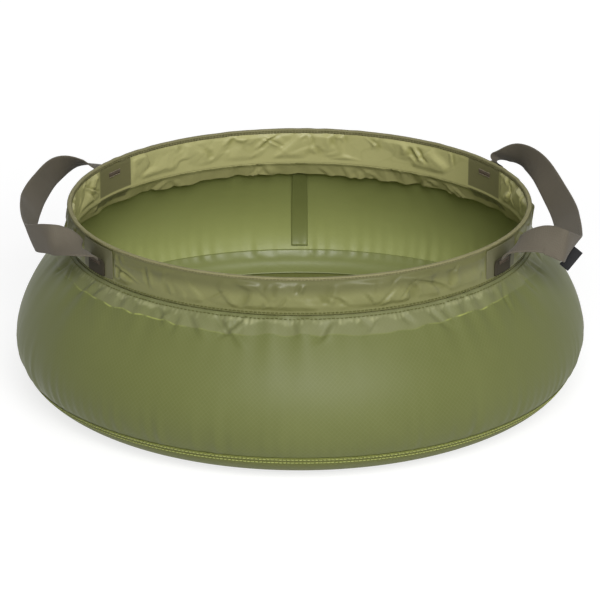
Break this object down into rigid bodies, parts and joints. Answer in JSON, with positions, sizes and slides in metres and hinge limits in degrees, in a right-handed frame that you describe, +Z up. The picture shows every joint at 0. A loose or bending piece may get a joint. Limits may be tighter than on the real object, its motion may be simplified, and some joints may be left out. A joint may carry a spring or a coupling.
{
  "type": "collapsible washbasin",
  "caption": "Round soft camp washbasin whose translucent coated-fabric wall bulges out below a stiffened, bound collar, with flat strap handles and a sewn-in floor.",
  "frame": {"origin": "centre of the floor's underside, on the ground", "axes": "+Z up out of the basin's mouth, -Y towards the pictured front, +X towards the handle with the side label"},
  "size_m": [0.48, 0.48, 0.1788],
  "materials": {
    "wall_cloth": "satin",
    "collar_cloth": "satin",
    "floor_cloth": "satin",
    "binding_tape": "matte",
    "seam_tape": "satin",
    "patch_cloth": "matte",
    "webbing": "matte",
    "dark_thread": "matte",
    "bright_thread": "matte",
    "bartack_thread": "matte",
    "strip_plastic": "satin",
    "label_cloth": "matte"
  },
  "bodies": {
    "basin": {"base_panel": "floor_cloth", "wall_panel": "wall_cloth", "base_seam_tape": "seam_tape", "wall_seam_tape": "seam_tape", "base_stitching_lower": "bright_thread", "base_stitching_upper": "bright_thread"},
    "rim": {"collar_outer": "collar_cloth", "collar_lining": "collar_cloth", "rim_stiffener": "strip_plastic", "rim_binding": "binding_tape", "collar_seam_tape": "seam_tape", "collar_stitching_upper": "dark_thread", "collar_stitching_lower": "dark_thread", "patch_left_back": "patch_cloth", "strap_end_left_back": "webbing", "bartack_left_back": "bartack_thread", "patch_left_front": "patch_cloth", "strap_end_left_front": "webbing", "bartack_left_front": "bartack_thread", "patch_right_back": "patch_cloth", "strap_end_right_back": "webbing", "bartack_right_back": "bartack_thread", "patch_right_front": "patch_cloth", "strap_end_right_front": "webbing", "bartack_right_front": "bartack_thread", "bartack_left_back_inside": "bartack_thread", "bartack_left_front_inside": "bartack_thread", "bartack_right_back_inside": "bartack_thread", "bartack_right_front_inside": "bartack_thread"},
    "left_strap": {"handle_left": "webbing"},
    "right_strap": {"handle_right": "webbing", "side_label": "label_cloth"}
  },
  "joints": [
    {"name": "collapse", "type": "slide", "parent": "basin", "child": "rim", "axis": [0, 0, 1], "range_m": [-0.085, 0], "deforming": ["wall_panel", "wall_seam_tape"]},
    {"name": "left_handle_swing", "type": "hinge", "parent": "rim", "child": "left_strap", "pos_m": [-0.16784, 0, 0.151], "axis": [0, 1, 0], "range_deg": [-10, 40]},
    {"name": "right_handle_swing", "type": "hinge", "parent": "rim", "child": "right_strap", "pos_m": [0.16784, 0, 0.151], "axis": [0, -1, 0], "range_deg": [-10, 40]}
  ]
}
